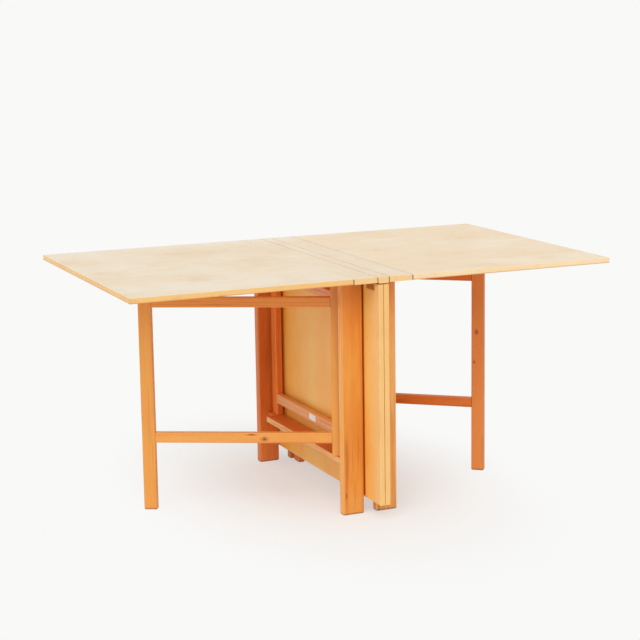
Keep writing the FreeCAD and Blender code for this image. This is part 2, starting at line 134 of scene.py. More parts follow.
# painted shade along the bottom of the feet, in the knots' dark brown
FOOT_SHADE_TONE = PINE_KNOT
FOOT_SHADE_SHARE = 0.8
FOOT_SHADE_HEIGHT = 0.007  # how far up the feet are drawn darker, as painted shade at the floor
PINE_EDGE = "FABB66"
PALE_FROM_FADE = 0.001
PINE_SHADED = "FA8E30"
SHADED_SHARE = 0.6
SHADED_HEIGHTS = (0.45, 0.7)  # painted shade: pine is drawn deeper up here, in the shade of the top
PINE_GLOSS = (0.38, 0.48)
GLOSS_SPAN = (0.3, 0.7)
LINE_RELIEF = -0.6  # the late-wood lines are drawn as shallow grooves
RGBA = {"data_type": "RGBA"}
SMOOTH = {"interpolation_type": "SMOOTHSTEP"}


def knot_layers(tree, place, turn, knots, radius):
    """Bends the rings of pine round its knots; gives their new radius, and the knots' tones and shares."""
    layers = []
    for spot, size, stretch in knots:
        ragged = add(tree, "ShaderNodeTexNoise", {"Scale": 1 / KNOT_RAGGED, "Detail": 2.0}, {"Vector": place})
        tear = size * KNOT_TEAR
        torn = add(tree, "ShaderNodeVectorMath",
                   {"operation": "MULTIPLY_ADD", 1: [tear] * 3, 2: [-tear / 2] * 3},
                   {0: ragged.outputs["Color"]})
        shifted = add(tree, "ShaderNodeVectorMath", {"operation": "ADD"}, {0: place, 1: torn})
        away = add(tree, "ShaderNodeVectorMath", {"operation": "SUBTRACT", 1: spot}, {0: shifted})
        along = add(tree, "ShaderNodeMapping", {"Rotation": turn}, {"Vector": away})
        squeezed = add(tree, "ShaderNodeVectorMath", {"operation": "MULTIPLY", 1: (1 / stretch, 1, 1)},
                       {0: along})
        gap = add(tree, "ShaderNodeVectorMath", {"operation": "LENGTH"}, {0: squeezed})
        near = add(tree, "ShaderNodeMapRange",
                   SMOOTH | {"From Min": size * BEND_REACH[0], "From Max": size * BEND_REACH[1]},
                   {"Value": gap})
        radius = add(tree, "ShaderNodeMath", {"operation": "MULTIPLY_ADD", 1: size * KNOT_BEND},
                     {0: near, 2: radius})
        for tone, outer, inner, share in KNOT_TONES:
            core = add(tree, "ShaderNodeMapRange",
                       SMOOTH | {"From Min": size * outer, "From Max": size * inner, "To Max": share},
                       {"Value": gap})
            layers.append((tone, core))
    return radius, layers


def lacquered_pine(name, turn, pith, tones=HONEY_PINE, knots=(), pale_from=None):
    """Pine under satin lacquer: warm orange with long, soft, darker late-wood lines, edges a little
    paler, partly rubbed and partly a painted highlight, painted shade close under the top and along
    the feet at the floor, and an even low gloss. turn brings the grain onto X, pith is the heart of
    the log in those directions, tones are its pale, deep and edge colours, knots are (place, radius,
    stretch along the grain) in the table's frame, and pale_from is how far from the table's middle a
    piece turns pale: sapwood on a board, painted light on a post."""
    material, tree, shader = start_material(name)
    coords = add(tree, "ShaderNodeTexCoord")
    place = coords.outputs["Object"]
    spot = add(tree, "ShaderNodeSeparateXYZ", {}, {0: place}).outputs
    grain = add(tree, "ShaderNodeMapping", {"Rotation": turn, "Location": (0, -pith[0], -pith[1])},
                {"Vector": place})
    slow = add(tree, "ShaderNodeVectorMath", {"operation": "MULTIPLY", 1: (GRAIN_STRETCH, 1, 1)},
               {0: grain})

    wander = add(tree, "ShaderNodeTexNoise", {"Scale": RING_WAVES, "Detail": 3.0, "Roughness": 0.55},
                 {"Vector": slow})
    half_swerve = RING_SWERVE / 2
    swerve = add(tree, "ShaderNodeVectorMath",
                 {"operation": "MULTIPLY_ADD", 1: (0, RING_SWERVE, RING_SWERVE),
                  2: (0, -half_swerve, -half_swerve)},
                 {0: wander.outputs["Color"]})
    swerved = add(tree, "ShaderNodeVectorMath", {"operation": "ADD"}, {0: grain, 1: swerve})
    across = add(tree, "ShaderNodeVectorMath", {"operation": "MULTIPLY", 1: (0, 1, 1)}, {0: swerved})
    radius = add(tree, "ShaderNodeVectorMath", {"operation": "LENGTH"}, {0: across})
    radius, knot_tones = knot_layers(tree, place, turn, knots, radius)
    count = add(tree, "ShaderNodeMath", {"operation": "DIVIDE", 1: RING_GAP}, {0: radius})
    ring = add(tree, "ShaderNodeMath", {"operation": "FRACT"}, {0: count})
    late = add(tree, "ShaderNodeMapRange",
               {"interpolation_type": "SMOOTHERSTEP", "From Min": LATE_RISE[0], "From Max": LATE_RISE[1]},
               {"Value": ring})
    ending = add(tree, "ShaderNodeMapRange", SMOOTH | {"From Min": LATE_END[0], "From Max": LATE_END[1]},
                 {"Value": ring})
    line = add(tree, "ShaderNodeMath", {"operation": "MULTIPLY"}, {0: late, 1: ending})
    line_share = add(tree, "ShaderNodeMath", {"operation": "MULTIPLY", 1: LATE_SHARE}, {0: line})

    fibre = add(tree, "ShaderNodeTexNoise", {"Scale": 1 / FIBRE_GAP, "Detail": 2.0, "Roughness": 0.6},
                {"Vector": slow})
    fibre_share = add(tree, "ShaderNodeMapRange",
                      {"From Min": FIBRE_SPAN[0], "From Max": FIBRE_SPAN[1], "To Max": FIBRE_SHARE},
                      {"Value": fibre})
    resin = add(tree, "ShaderNodeTexNoise", {"Scale": 1 / RESIN_GAP, "Detail": 1.0, "Distortion": 0.4},
                {"Vector": slow})
    resin_share = add(tree, "ShaderNodeMapRange",
                      SMOOTH | {"From Min": RESIN_SPAN[0], "From Max": RESIN_SPAN[1], "To Max": RESIN_SHARE},
                      {"Value": resin})
    facing = add(tree, "ShaderNodeMapping", {"Rotation": turn}, {"Vector": coords.outputs["Normal"]})
    sides = add(tree, "ShaderNodeSeparateXYZ", {}, {0: facing}).outputs
    both = add(tree, "ShaderNodeMath", {"operation": "MULTIPLY"}, {0: sides["Y"], 1: sides["Z"]})
    corner = add(tree, "ShaderNodeMath", {"operation": "ABSOLUTE"}, {0: both})
    # edges drawn paler: partly rubbed wear, partly a painted highlight on their rounds
    painted_edge_shading = add(tree, "ShaderNodeMapRange",
                 SMOOTH | {"From Min": CORNER_SPAN[0], "From Max": CORNER_SPAN[1], "To Max": EDGE_RUB_AND_HIGHLIGHT_SHARE},
                 {"Value": corner})
    # painted shade: pine drawn deeper close under the top
    shaded = add(tree, "ShaderNodeMapRange",
                 {"From Min": SHADED_HEIGHTS[0], "From Max": SHADED_HEIGHTS[1], "To Max": SHADED_SHARE},
                 {"Value": spot["Z"]})
    # painted shade at the floor
    foot_shade = add(tree, "ShaderNodeMapRange", {"From Min": FOOT_SHADE_HEIGHT, "From Max": 0.0, "To Max": FOOT_SHADE_SHARE},
               {"Value": spot["Z"]})

    layers = []
    # a pale outer face: sapwood on a board, painted light on the near-left post
    if pale_from:
        off_middle = add(tree, "ShaderNodeMath", {"operation": "ABSOLUTE"}, {0: spot["X"]})
        edge = add(tree, "ShaderNodeMapRange", {"From Min": pale_from - PALE_FROM_FADE, "From Max": pale_from},
                   {"Value": off_middle})
        layers.append((PINE_EDGE, edge))
    layers += [(PINE_SHADED, shaded), (PINE_LATE, line_share), (PINE_LATE, fibre_share)]
    layers += [(PINE_RESIN, resin_share), (tones[2], painted_edge_shading)] + knot_tones + [(FOOT_SHADE_TONE, foot_shade)]
    patches = add(tree, "ShaderNodeVectorMath", {"operation": "MULTIPLY", 1: (CLOUD_STRETCH, 1, 1)},
                  {0: grain})
    cloud = add(tree, "ShaderNodeTexNoise", {"Scale": PINE_CLOUDS, "Detail": 3.0, "Roughness": 0.6},
                {"Vector": patches})
    deeper = add(tree, "ShaderNodeMapRange", {"From Min": CLOUD_SPAN[0], "From Max": CLOUD_SPAN[1]},
                 {"Value": cloud})
    colour = add(tree, "ShaderNodeMix", RGBA | {6: linear(tones[0]), 7: linear(tones[1])}, {0: deeper})
    for tone, share in layers:
        colour = add(tree, "ShaderNodeMix", RGBA | {7: linear(tone)}, {0: share, 6: colour})
    link(tree, colour, shader.inputs["Base Color"])

    gloss = add(tree, "ShaderNodeMapRange",
                {"From Min": GLOSS_SPAN[0], "From Max": GLOSS_SPAN[1],
                 "To Min": PINE_GLOSS[0], "To Max": PINE_GLOSS[1]},
                {"Value": fibre})
    link(tree, gloss, shader.inputs["Roughness"])
    relief = add(tree, "ShaderNodeMath", {"operation": "MULTIPLY_ADD", 1: LINE_RELIEF}, {0: line, 2: fibre})
    bump = add(tree, "ShaderNodeBump", {"Strength": 0.1, "Distance": 0.0004}, {"Height": relief})
    link(tree, bump, shader.inputs["Normal"])
    return material


UPRIGHT = (0, math.radians(90), 0)
HALVES = ("left", "right")
POST_MARK = ((-0.0767, -0.347, 0.0594), 0.0018, 4.0)  # a small long knot near the foot
post_lit_face = -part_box("left_near_post")[0].x  # its outer face, which looks towards the soft light, is drawn pale as painted light
finish_nodes(["left_near_post"],
             lacquered_pine("pine_left_near_post", UPRIGHT, pith=(0.06, 0.12), knots=[POST_MARK],
                            pale_from=post_lit_face))
finish_nodes(["right_near_post"],
             lacquered_pine("pine_right_near_post", UPRIGHT, pith=(0.15, -0.09), tones=PALE_PINE))
# the far posts are drawn redder as painted shade
finish_nodes([f"{half}_far_post" for half in HALVES],
             lacquered_pine("pine_far_posts", UPRIGHT, pith=(-0.04, 0.10), tones=PAINTED_SHADE_PINE))

# Lower and upper boards: flat boards between the posts of each half, tenoned into them.
# Lacquered pine, drawn redder as painted shade, with its grain along the board, notched where
# the gate legs fold in and bored for the gates' pivot pins; their outer edges are pale sapwood.
ALONG_Y = (0, 0, math.radians(-90))
board_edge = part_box("right_lower_board")[1].x
finish_nodes([f"{half}_{level}_board" for half in HALVES for level in ("lower", "upper")],
             lacquered_pine("pine_boards", ALONG_Y, pith=(0.03, 0.30), tones=PAINTED_SHADE_PINE, pale_from=board_edge))

# Swing gates: each is a stile on pivot pins, two rails and a leg, joined by mortise and tenon.
# Lacquered pine with a few small knots; the right gate and the folded inner gates' uprights are drawn
# redder as painted shade, the left gate's rails paler as painted light, and the inner gates' rails
# are paler; the outer gates stand open under the raised leaves.
# the left gate's rails are drawn paler than its uprights, as painted light
PAINTED_LIGHT_PINE = ("F4AE54", "EA9B43", "F8B968")
# the right gate is drawn redder as painted shade
GATE_PINE = {"left": HONEY_PINE, "right": PAINTED_SHADE_PINE}
RAIL_PINE = {"left": PAINTED_LIGHT_PINE, "right": PAINTED_SHADE_PINE}
# the folded inner gates' uprights are drawn redder as painted shade
FOLDED_SHADE_PINE = ("F88A37", "EC7628", "F6A254")
FOLDED_RAIL_PINE = ("F8B56E", "EEA25C", "FBC081")
LEG_KNOTS = {
    "left": [],
    "right": [((0.4987, -0.0814, 0.4517), 0.004, 1.3), ((0.4926, -0.0764, 0.3544), 0.003, 1.3)],
}
RAIL_KNOTS = {
    "left": [((-0.2718, -0.1927, 0.2181), 0.0045, 1.5), ((-0.3058, -0.175, 0.232), 0.002, 5.0)],
    "right": [],
}
UPRIGHT_PITH = (0.02, -0.21)
RAIL_PITH = (0.0, 0.16)
FOLDED_RAIL_PITH = (-0.05, 0.14)
gate_swings = [joint for joint in frame["joints"] if "gate" in joint["name"]]
open_angle = {swing["child"]: -swing["range_deg"][0] for swing in gate_swings}
for half in HALVES:
    leg_wood = lacquered_pine(f"pine_{half}_gate_uprights", UPRIGHT, UPRIGHT_PITH, GATE_PINE[half],
                              LEG_KNOTS[half])
    finish_nodes([f"{half}_outer_gate_{member}" for member in ("leg", "stile")], leg_wood)
    along_rail = (0, 0, math.radians(-90 - open_angle[f"{half}_gate"]))
    rail_wood = lacquered_pine(f"pine_{half}_outer_rails", along_rail, RAIL_PITH, RAIL_PINE[half],
                               RAIL_KNOTS[half])
    finish_nodes([f"{half}_outer_gate_{member}_rail" for member in ("lower", "top")], rail_wood)
finish_nodes([f"{half}_inner_gate_{member}" for half in HALVES for member in ("leg", "stile")],
             lacquered_pine("pine_inner_uprights", UPRIGHT, UPRIGHT_PITH, FOLDED_SHADE_PINE))
finish_nodes([f"{half}_inner_gate_{member}_rail" for half in HALVES for member in ("lower", "top")],
             lacquered_pine("pine_inner_rails", ALONG_Y, FOLDED_RAIL_PITH, FOLDED_RAIL_PINE))

# Pivot pins of the gates: turned steel pins that run from the stiles into the boards.
# Bright drawn steel, slightly dulled by handling.
METAL_CLOUDS = 160.0  # to the metre: marks of handling are about 6 mm wide
PIVOT_STEEL = ("B4B3B0", "8C8A86")  # bright and dull
PIVOT_GLOSS = (0.28, 0.45)


def handled(name, tones, gloss, clouds=METAL_CLOUDS, detail=4.0, metallic=1.0):
    """Plain metal or plastic: its own colour, clouded by handling, with a soft uneven shine."""
    material, tree, shader = start_material(name)
    shader.inputs["Metallic"].default_value = metallic
    place = add(tree, "ShaderNodeTexCoord").outputs["Object"]
    cloud = add(tree, "ShaderNodeTexNoise", {"Scale": clouds, "Detail": detail}, {"Vector": place})
    tint = add(tree, "ShaderNodeMix", RGBA | {6: linear(tones[0]), 7: linear(tones[1])}, {0: cloud})
    link(tree, tint, shader.inputs["Base Color"])
    shine = add(tree, "ShaderNodeMapRange", {"To Min": gloss[0], "To Max": gloss[1]}, {"Value": cloud})
    link(tree, shine, shader.inputs["Roughness"])
    return material


finish_nodes([f"{half}_{gate}_gate_pins" for half in HALVES for gate in ("outer", "inner")],
             handled("drawn_steel_pivots", PIVOT_STEEL, PIVOT_GLOSS))

# Rail pads: a thin plain white pad on the outer face of each inner gate's lower rail.
# Moulded nylon, a little uneven in gloss, stuck flat to the wood.
PAD_WHITES = ("FCFBFA", "F2F0EE")
PAD_GLOSS = (0.45, 0.6)
NYLON_CLOUDS = 120.0  # to the metre: about 8 mm wide
pad_nylon = handled("moulded_nylon", PAD_WHITES, PAD_GLOSS, NYLON_CLOUDS, detail=3.0, metallic=0.0)
finish_nodes([f"{half}_rail_pad" for half in HALVES], pad_nylon)

# Top strips and centre batten: the narrow fixed top of each half, and the loose batten between them.
# Solid birch under satin lacquer with the grain along the strip; the top has paled in the light and
# the sides and ends have kept their honey colour.
PALE_TONES = ("F5E6CD", "F0D8B4", "DFBF92")  # pale, middle and fleck
STRIP_EDGE_TONES = ("F9D397", "F5C98A", "E3B06B")
TOP_FACING = (0.4, 0.8)  # how far a face looks up where the top's tones begin and where they are whole
BIRCH_CLOUDS = 5.0  # to the metre across the grain: soft patches about 200 mm wide
LACQUER_PATCHES = 6.0  # to the metre: about 170 mm wide
BLOTCH_SPAN = (0.75, 1.25)  # of both of these added up
FLECK_LENGTH = 0.05  # flecks of birch figure run 30 to 80 mm along the grain
FLECK_WIDTH = 0.012
FLECK_WAVES = 0.5 / FLECK_WIDTH  # a fleck is half a wave of its noise
FLECK_SPAN = (0.52, 0.74)
PORE_SHARE = 0.16
PORE_SPAN = (0.5, 0.8)
PITH_BROWN = "B08450"
PITH_SHARE = 0.6
PITH_GAP = 0.05  # pith flecks are a hand's breadth apart across the grain, and 1 to 2 mm wide
PITH_WIDTH_SHARE = 0.035
PITH_CHANCE = 0.5  # about every other one is drawn
WORN_GREY = "D9C7AC"
WORN_SPAN = (0.55, 0.78)
# painted shade: brown in the joints' gaps and on the ends beside them
JOINT_SHADE_BROWN = "7E3F16"
JOINT_LIGHT_LIP = "F4EBDD"
JOINT_REACH = 0.1  # metres from the table's middle that hold every joint of the top
JOINT_SHADE_REACH = 0.0024  # how far from a joint's middle its ends are drawn darker as painted shade
CLOSED_LIP = 0.0015  # the hinged joints close to a hair at the very top, so their sides are drawn pale that deep, as painted light
SQUARE_ON = 0.8  # how far a face looks sideways or endways to count as a side or an end
# painted shade along an edging's lower edge, where it rounds under
UNDER_EDGE_SHADE = "D08238"
UNDER_SHADE_SHARE = 0.6
UNDER_SHADE_HEIGHT = 0.005
END_LIGHT_SHARE = 0.4  # how far a leaf's ends are drawn paler towards the tabletop's tones, as painted light
# painted shade where a hanging leaf passes behind a post's edge
POST_SHADE_RED = "BC480E"
POST_SHADE_SHARE = 0.85
POST_SHADE_FADE = 0.004
POST_SHADE_REACH = 0.018  # how far behind the post's edge the painted shade fades out
BIRCH_GLOSS = (0.36, 0.46)
strip_edges = [corner.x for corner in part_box("right_top_strip")]
strip_middle = sum(strip_edges) / 2
batten_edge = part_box("centre_batten")[1].x
leaf_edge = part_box("right_leaf_lipping")[0].x
joint_middles = ((strip_edges[0] + batten_edge) / 2, (strip_edges[1] + leaf_edge) / 2)


def joint_layers(tree, spot, normal, joint_top):
    """Tones and shares of a piece's sides in the joints, drawn brown as painted shade below a pale lip
    of painted light, and of painted shade on its ends by the joints; joint_top is the height of the top."""
    outward = add(tree, "ShaderNodeSeparateXYZ", {}, {0: normal}).outputs
    sideways = add(tree, "ShaderNodeMath", {"operation": "ABSOLUTE"}, {0: outward["X"]})
    side = add(tree, "ShaderNodeMath", {"operation": "GREATER_THAN", 1: SQUARE_ON}, {0: sideways})
    endways = add(tree, "ShaderNodeMath", {"operation": "ABSOLUTE"}, {0: outward["Y"]})
    end = add(tree, "ShaderNodeMath", {"operation": "GREATER_THAN", 1: SQUARE_ON}, {0: endways})
    off_middle = add(tree, "ShaderNodeMath", {"operation": "ABSOLUTE"}, {0: spot["X"]})
    inside = add(tree, "ShaderNodeMath", {"operation": "LESS_THAN", 1: JOINT_REACH}, {0: off_middle})
    in_joint = add(tree, "ShaderNodeMath", {"operation": "MULTIPLY"}, {0: side, 1: inside})
    hinged = add(tree, "ShaderNodeMath", {"operation": "GREATER_THAN", 1: strip_middle}, {0: off_middle})
    shade_top = add(tree, "ShaderNodeMath", {"operation": "MULTIPLY_ADD", 1: -CLOSED_LIP, 2: joint_top},
                    {0: hinged})
    below = add(tree, "ShaderNodeMath", {"operation": "LESS_THAN"}, {0: spot["Z"], 1: shade_top})
    joint_shade = add(tree, "ShaderNodeMath", {"operation": "MULTIPLY"}, {0: in_joint, 1: below})
    layers = [(JOINT_LIGHT_LIP, in_joint), (JOINT_SHADE_BROWN, joint_shade)]
    for middle in joint_middles:
        off_joint = add(tree, "ShaderNodeMath", {"operation": "SUBTRACT", 1: middle}, {0: off_middle})
        apart = add(tree, "ShaderNodeMath", {"operation": "ABSOLUTE"}, {0: off_joint})
        near_joint = add(tree, "ShaderNodeMapRange", {"From Min": JOINT_SHADE_REACH, "From Max": 0.0}, {"Value": apart})
        end_shade = add(tree, "ShaderNodeMath", {"operation": "MULTIPLY"}, {0: end, 1: near_joint})
        layers.append((JOINT_SHADE_BROWN, end_shade))
    return layers


def post_shade_and_light(tree, spot, upward, ends):
    """Shares of a hanging leaf's painted shade by the post's edge and of its painted light towards its
    end, which start by the posts; ends are the distances along Y of the shade and of the leaf's end."""
    off_middle = add(tree, "ShaderNodeMath", {"operation": "ABSOLUTE"}, {0: spot["Y"]})
    inner = add(tree, "ShaderNodeMapRange",
                SMOOTH | {"From Min": ends[0] - POST_SHADE_REACH, "From Max": ends[0] - POST_SHADE_FADE},
                {"Value": off_middle})
    outer = add(tree, "ShaderNodeMapRange",
                {"From Min": ends[0] + POST_SHADE_FADE, "From Max": ends[0], "To Max": POST_SHADE_SHARE},
                {"Value": off_middle})
    band = add(tree, "ShaderNodeMath", {"operation": "MULTIPLY"}, {0: inner, 1: outer})
    underside = add(tree, "ShaderNodeMath", {"operation": "SUBTRACT", 0: 1.0}, {1: upward})
    painted_edge_shading = add(tree, "ShaderNodeMath", {"operation": "MULTIPLY"}, {0: band, 1: underside})
    end_light = add(tree, "ShaderNodeMapRange", {"From Min": ends[0], "From Max": ends[1], "To Max": END_LIGHT_SHARE},
                {"Value": off_middle})
    return painted_edge_shading, end_light


def lacquered_birch(name, turn, tones, top_tones, figure=0.4, wear=0.0, joint_top=None, up=(0, 0, 1),
                    under=None, ends=None):
    """Birch under satin lacquer: creamy or honey, with faint long flecks and a silky even gloss.
    turn brings the grain onto X, tones are its pale, middle and fleck colours, top_tones the same
    on the tabletop side, which up points out of at rest, figure sets how far the flecks show and
    wear how far the lacquer greyed. joint_top is the height of the top, for pieces whose sides in
    the joints are drawn brown as painted shade below a pale lip of painted light, under the height
    of a lower edge above which the wood is drawn darker as painted shade, and ends two distances
    along Y: at the first a leaf's underside is drawn with painted shade by the post's edge, and from
    there to the second it is drawn paler as painted light."""
    material, tree, shader = start_material(name)
    coords = add(tree, "ShaderNodeTexCoord")
    place = coords.outputs["Object"]
    normal = coords.outputs["Normal"]
    spot = add(tree, "ShaderNodeSeparateXYZ", {}, {0: place}).outputs
    grain = add(tree, "ShaderNodeMapping", {"Rotation": turn}, {"Vector": place})
    drawn_out = add(tree, "ShaderNodeVectorMath",
                    {"operation": "MULTIPLY", 1: (FLECK_WIDTH / FLECK_LENGTH, 1, 1)}, {0: grain})
    patch = add(tree, "ShaderNodeTexNoise", {"Scale": LACQUER_PATCHES, "Detail": 5.0, "Roughness": 0.65},
                {"Vector": place})
    facing = add(tree, "ShaderNodeVectorMath", {"operation": "DOT_PRODUCT", 1: up}, {0: normal})
    upward = add(tree, "ShaderNodeMapRange", SMOOTH | {"From Min": TOP_FACING[0], "From Max": TOP_FACING[1]},
                 {"Value": facing})

    pith = add(tree, "ShaderNodeTexVoronoi", {"voronoi_dimensions": "2D", "Scale": 1 / PITH_GAP},
               {"Vector": drawn_out})
    chance = add(tree, "ShaderNodeSeparateColor", {}, {0: pith.outputs["Color"]})
    chosen = add(tree, "ShaderNodeMath", {"operation": "GREATER_THAN", 1: PITH_CHANCE}, {0: chance})
    core = add(tree, "ShaderNodeMapRange",
               SMOOTH | {"From Min": PITH_WIDTH_SHARE, "From Max": 0.0, "To Max": PITH_SHARE},
               {"Value": pith.outputs["Distance"]})
    pith_share = add(tree, "ShaderNodeMath", {"operation": "MULTIPLY"}, {0: chosen, 1: core})
    layers = [(PITH_BROWN, pith_share)]
    if ends:
        painted_edge_shading, end_light = post_shade_and_light(tree, spot, upward, ends)
        layers.append((POST_SHADE_RED, painted_edge_shading))
        upward = add(tree, "ShaderNodeMath", {"operation": "MAXIMUM"}, {0: upward, 1: end_light})
    if wear:
        worn = add(tree, "ShaderNodeMapRange",
                   SMOOTH | {"From Min": WORN_SPAN[0], "From Max": WORN_SPAN[1], "To Max": wear},
                   {"Value": patch})
        worn_top = add(tree, "ShaderNodeMath", {"operation": "MULTIPLY"}, {0: worn, 1: upward})
        layers.append((WORN_GREY, worn_top))
    if joint_top:
        layers += joint_layers(tree, spot, normal, joint_top)
    if under:
        under_shade = add(tree, "ShaderNodeMapRange",
                  SMOOTH | {"From Min": under + UNDER_SHADE_HEIGHT, "From Max": under, "To Max": UNDER_SHADE_SHARE},
                  {"Value": spot["Z"]})
        layers.append((UNDER_EDGE_SHADE, under_shade))

    pale, middle, dark = [
        add(tree, "ShaderNodeMix", RGBA | {6: linear(tone), 7: linear(top)}, {0: upward})
        for tone, top in zip(tones, top_tones)
    ]
    cloud = add(tree, "ShaderNodeTexNoise", {"Scale": BIRCH_CLOUDS, "Detail": 2.0}, {"Vector": drawn_out})
    blotch = add(tree, "ShaderNodeMath", {"operation": "ADD"}, {0: cloud, 1: patch})
    deeper = add(tree, "ShaderNodeMapRange", {"From Min": BLOTCH_SPAN[0], "From Max": BLOTCH_SPAN[1]},
                 {"Value": blotch})
    colour = add(tree, "ShaderNodeMix", RGBA, {0: deeper, 6: pale, 7: middle})
    fleck = add(tree, "ShaderNodeTexNoise",
                {"Scale": FLECK_WAVES, "Detail": 4.0, "Roughness": 0.6, "Distortion": 1.2},
                {"Vector": drawn_out})
    fleck_share = add(tree, "ShaderNodeMapRange",
                      SMOOTH | {"From Min": FLECK_SPAN[0], "From Max": FLECK_SPAN[1], "To Max": figure},
                      {"Value": fleck})
    fine = add(tree, "ShaderNodeVectorMath", {"operation": "MULTIPLY", 1: (GRAIN_STRETCH, 1, 1)},
               {0: grain})
    pore = add(tree, "ShaderNodeTexNoise", {"Scale": 1 / FIBRE_GAP, "Detail": 2.0}, {"Vector": fine})
    pore_share = add(tree, "ShaderNodeMapRange",
                     {"From Min": PORE_SPAN[0], "From Max": PORE_SPAN[1], "To Max": PORE_SHARE},
                     {"Value": pore})
    for share in (fleck_share, pore_share):
        colour = add(tree, "ShaderNodeMix", RGBA, {0: share, 6: colour, 7: dark})
    for tone, share in layers:
        colour = add(tree, "ShaderNodeMix", RGBA | {7: linear(tone)}, {0: share, 6: colour})
    link(tree, colour, shader.inputs["Base Color"])

    gloss = add(tree, "ShaderNodeMapRange",
                {"From Min": GLOSS_SPAN[0], "From Max": GLOSS_SPAN[1],
                 "To Min": BIRCH_GLOSS[0], "To Max": BIRCH_GLOSS[1]},
                {"Value": patch})
    link(tree, gloss, shader.inputs["Roughness"])
    bump = add(tree, "ShaderNodeBump", {"Strength": 0.06, "Distance": 0.0003}, {"Height": pore})
    link(tree, bump, shader.inputs["Normal"])
    return material


table_height = cad_box[1][2]
finish_nodes([f"{half}_top_strip" for half in HALVES] + ["centre_batten"],
             lacquered_birch("birch_strips", ALONG_Y, STRIP_EDGE_TONES, PALE_TONES, joint_top=table_height))

# Leaves: veneered panels, two raised and two hanging between the halves.
# Birch veneer under satin lacquer with its grain along the leaf; the tabletop sides have paled with
# use and light, and the undersides have kept their honey colour.
ALONG_X = (0, 0, 0)
HONEY_TONES = ("F9CB81", "F4BF73", "E0A558")
TOP_TONES = {"left": PALE_TONES, "right": ("F7E4C6", "F3D6AB", "E2BC88")}  # the right leaf is more golden
VENEER_TONES = ("FFCC65", "FFB645", "F19F3B")
TOP_WEAR = 0.3
HANGING_FIGURE = 0.25  # the flecks of the hanging leaves are fainter
INWARDS = {"left": (1, 0, 0), "right": (-1, 0, 0)}  # where the tabletop side of a hanging leaf looks
post_ends = (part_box("left_far_post")[1].y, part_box("left_inner_leaf")[1].y)
for half in HALVES:
    raised_birch = lacquered_birch(f"birch_veneer_{half}_raised", ALONG_X, HONEY_TONES, TOP_TONES[half],
                                   wear=TOP_WEAR)
    finish_nodes([f"{half}_leaf"], raised_birch)
    hanging_birch = lacquered_birch(f"birch_veneer_{half}_hanging", UPRIGHT, VENEER_TONES, PALE_TONES,
                                    HANGING_FIGURE, up=INWARDS[half], ends=post_ends)
    finish_nodes([f"{half}_inner_leaf"], hanging_birch)

# Edgings: four solid strips glued round each leaf and planed flush.
# Solid birch that has aged to honey and paled on top; its lower edge is drawn darker as painted shade.
PALE_EDGE_TONES = ("FBDFB1", "F8D7A4", "E8BD85")
EDGE_TONES = {"left": HONEY_TONES, "right": PALE_EDGE_TONES}
for half in HALVES:
    edging = f"{half}_leaf_lipping"
    edging_birch = lacquered_birch(f"birch_{half}_edging", ALONG_X, EDGE_TONES[half], TOP_TONES[half],
                                   joint_top=table_height, under=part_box(edging)[0].z)
    finish_nodes([edging], edging_birch)
finish_nodes([f"{half}_inner_leaf_lipping" for half in HALVES],
             lacquered_birch("birch_edging_hanging", UPRIGHT, HONEY_TONES, HONEY_TONES, HANGING_FIGURE))

# Butt hinges: two to each leaf, with plates flat against the wood and five knuckles on a pin.
# Stamped brass, a little dull and browned, on steel pins.
HINGE_BRASS = ("E6C27C", "B98B48")
HINGE_GLOSS = (0.35, 0.55)
PIN_STEEL = ("A9A7A2", "7E7C78")
PIN_GLOSS = (0.3, 0.5)
hinges = [f"{half}_{leaf}_hinge" for half in HALVES for leaf in ("leaf", "inner_leaf")]
finish_nodes([f"{hinge}_{side}_plates" for hinge in hinges for side in ("strip", "leaf")],
             handled("stamped_brass", HINGE_BRASS, HINGE_GLOSS))
finish_nodes([f"{hinge}_pins" for hinge in hinges], handled("drawn_steel_hinge_pins", PIN_STEEL, PIN_GLOSS))

# Hinge screws: three countersunk screws to each hinge plate, with slotted heads just proud of it.
# Turned brass, each left with its slot at the angle where it came tight.
SCREW_BRASS = ("E8C888", "BE9350")
SCREW_GLOSS = (0.3, 0.5)
PLATE_WIDTH = 0.020
PLATE_THICKNESS = 0.0016
HINGE_LENGTH = 0.050
SCREW_END_INSET = 0.008
HEAD_SIDES = 20
CUTTER_LENGTH = 3.0  # head radii, so that the slot runs out at both sides
CUTTER_HEIGHT = 2.0  # slot depths, because the cutter is centred on the head's top


